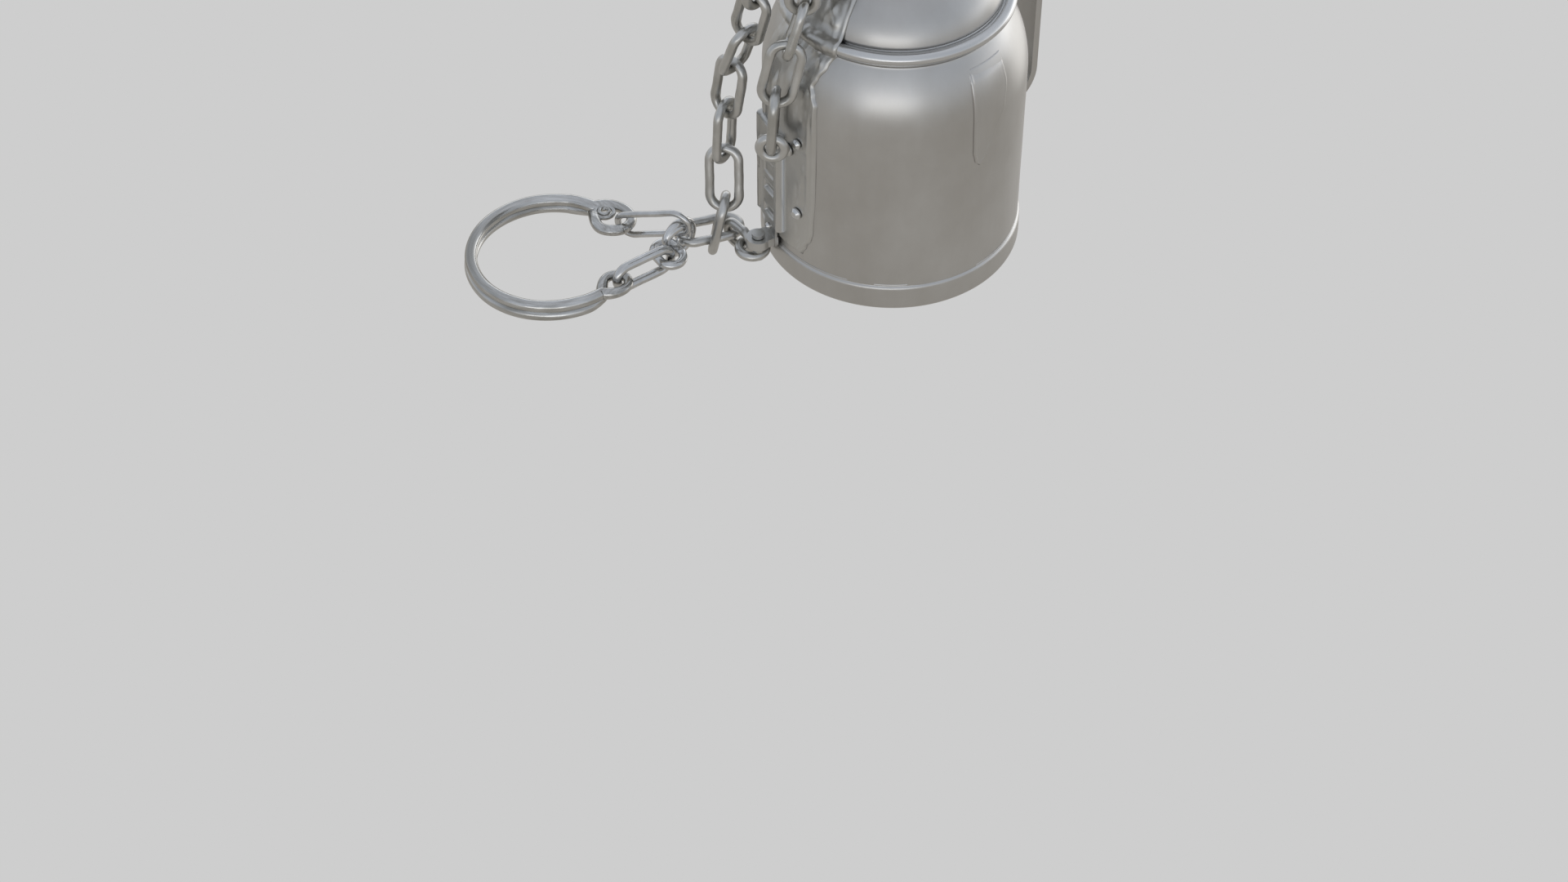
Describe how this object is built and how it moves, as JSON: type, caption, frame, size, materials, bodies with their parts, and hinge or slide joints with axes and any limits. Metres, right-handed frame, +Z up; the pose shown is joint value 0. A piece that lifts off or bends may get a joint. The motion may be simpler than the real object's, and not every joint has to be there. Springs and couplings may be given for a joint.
{
  "type": "canteen",
  "caption": "Round-shouldered stainless canteen with a rolled bead, strap handle, screw cap and bail, and a carrying chain that ends in an open two-strand belt ring.",
  "frame": {"origin": "centre of the underside of the base cup", "axes": "+Z up along the bottle's axis; the carrying chain and the belt ring lie towards -X"},
  "size_m": [0.1774, 0.0865, 0.1599],
  "materials": {
    "body_steel": "satin",
    "wire_steel": "polished, lightly scratched",
    "cap_plastic": "moulded",
    "gasket_rubber": "smooth"
  },
  "bodies": {
    "canteen": {"body_shell": "body_steel", "base_cup": "body_steel", "rolled_bead": "wire_steel", "dome": "body_steel", "neck_tube": "body_steel", "neck_thread": "body_steel", "side_strap": "body_steel", "clip_bar": "body_steel", "clip_rivets": "wire_steel", "clip_tab": "wire_steel", "foot_bracket": "body_steel", "neck_collar": "body_steel", "collar_screw": "wire_steel", "guard_eye": "wire_steel", "blank_plate": "body_steel", "handle_strap": "body_steel", "handle_pads": "body_steel", "handle_rivets": "wire_steel"},
    "cap_swivel": {"cap_boss": "wire_steel", "cap_swivel_pin": "wire_steel"},
    "cap": {"cap_shell": "body_steel", "cap_liner": "cap_plastic", "cap_thread": "cap_plastic", "cap_gasket": "gasket_rubber"},
    "bail": {"bail": "wire_steel"},
    "chain_loop": {"top_swivel": "wire_steel", "foot_swivel": "wire_steel", "junction_link": "wire_steel"},
    "chain_1": {"chain_link_1": "wire_steel"},
    "chain_2": {"chain_link_2": "wire_steel"},
    "chain_3": {"chain_link_3": "wire_steel"},
    "chain_4": {"chain_link_4": "wire_steel"},
    "chain_5": {"chain_link_5": "wire_steel"},
    "chain_6": {"chain_link_6": "wire_steel"},
    "foot_link": {"foot_link": "wire_steel"},
    "guard_1": {"guard_link_1": "wire_steel"},
    "guard_2": {"guard_link_2": "wire_steel"},
    "guard_3": {"guard_link_3": "wire_steel"},
    "coil": {"coil_ring": "wire_steel"},
    "ring_upper": {"ring_link_upper": "wire_steel"},
    "ring_short": {"ring_link_short": "wire_steel"},
    "ring_lower": {"ring_link_lower": "wire_steel"},
    "belt_ring": {"belt_ring": "wire_steel"}
  },
  "joints": [
    {"name": "cap_lift", "type": "slide", "parent": "canteen", "child": "cap_swivel", "axis": [0, 0, 1], "range_m": [0, 0.008]},
    {"name": "cap_turn", "type": "hinge", "parent": "cap_swivel", "child": "cap", "pos_m": [0, 0, 0.12], "axis": [0, 0, 1], "range_deg": [0, 720.5]},
    {"name": "bail_flip", "type": "hinge", "parent": "cap_swivel", "child": "bail", "pos_m": [0, 0, 0.1423], "axis": [1, 0, 0], "range_deg": [-90, 90]},
    {"name": "loop_swing", "type": "hinge", "parent": "canteen", "child": "chain_loop", "pos_m": [-0.041, -0.02, 0.11216], "axis": [0, 0, 1], "range_deg": [-5, 20]},
    {"name": "chain_1_twist", "type": "hinge", "parent": "chain_loop", "child": "chain_1", "pos_m": [-0.04254, -0.01763, 0.09449], "axis": [-0.18, 0.2772, -0.9438], "range_deg": [-5, 5]},
    {"name": "chain_2_twist", "type": "hinge", "parent": "chain_loop", "child": "chain_2", "pos_m": [-0.04615, -0.01264, 0.07855], "axis": [-0.2427, 0.3062, -0.9205], "range_deg": [-5, 5]},
    {"name": "chain_3_twist", "type": "hinge", "parent": "chain_loop", "child": "chain_3", "pos_m": [-0.04942, -0.00953, 0.06223], "axis": [-0.1396, 0.0581, -0.9885], "range_deg": [-5, 5]},
    {"name": "chain_4_twist", "type": "hinge", "parent": "chain_loop", "child": "chain_4", "pos_m": [-0.05097, -0.00923, 0.04524], "axis": [-0.0408, -0.0236, -0.9989], "range_deg": [-5, 5]},
    {"name": "chain_5_twist", "type": "hinge", "parent": "chain_loop", "child": "chain_5", "pos_m": [-0.05131, -0.01134, 0.02836], "axis": [0, -0.2233, -0.9748], "range_deg": [-4, 4]},
    {"name": "chain_6_twist", "type": "hinge", "parent": "chain_loop", "child": "chain_6", "pos_m": [-0.05308, -0.0131, 0.01166], "axis": [-0.2071, 0.0181, -0.9781], "range_deg": [-1.5, 1.5]},
    {"name": "foot_link_twist", "type": "hinge", "parent": "chain_loop", "child": "foot_link", "pos_m": [-0.04693, -0.01255, 0.0054], "axis": [0.6226, -0.7825, 0], "range_deg": [-1.5, 1.5]},
    {"name": "guard_1_twist", "type": "hinge", "parent": "canteen", "child": "guard_1", "pos_m": [-0.02985, -0.02707, 0.09745], "axis": [-0.2838, -0.1594, -0.9455], "range_deg": [-5, 5]},
    {"name": "guard_2_twist", "type": "hinge", "parent": "canteen", "child": "guard_2", "pos_m": [-0.03378, -0.02881, 0.0823], "axis": [-0.2195, -0.068, -0.9732], "range_deg": [-5, 5]},
    {"name": "guard_3_twist", "type": "hinge", "parent": "canteen", "child": "guard_3", "pos_m": [-0.03614, -0.02926, 0.0655], "axis": [-0.0574, 0.0149, -0.9982], "range_deg": [-5, 5]},
    {"name": "ring_lift", "type": "hinge", "parent": "chain_loop", "child": "coil", "pos_m": [-0.06456, -0.01351, 0.00495], "axis": [-0.7071, 0.7071, 0], "range_deg": [0, 30]},
    {"name": "upper_twist", "type": "hinge", "parent": "coil", "child": "ring_upper", "pos_m": [-0.07363, -0.01058, 0.00899], "axis": [-0.8198, 0.4093, -0.4004], "range_deg": [-1.5, 1.5]},
    {"name": "short_twist", "type": "hinge", "parent": "coil", "child": "ring_short", "pos_m": [-0.06871, -0.02047, 0.00526], "axis": [0.5722, -0.8172, -0.0698], "range_deg": [-2, 2]},
    {"name": "lower_twist", "type": "hinge", "parent": "coil", "child": "ring_lower", "pos_m": [-0.07601, -0.02751, 0.00565], "axis": [-0.8091, -0.5877, 0], "range_deg": [-2, 2]},
    {"name": "ring_flip", "type": "hinge", "parent": "coil", "child": "belt_ring", "pos_m": [-0.0827, -0.01918, 0.00509], "axis": [-0.0031, 0.9991, -0.0422], "range_deg": [0, 5]}
  ],
  "couplings": [
    {"joint": "cap_turn", "follows": "cap_lift", "rad_per_m": 1570.8}
  ]
}
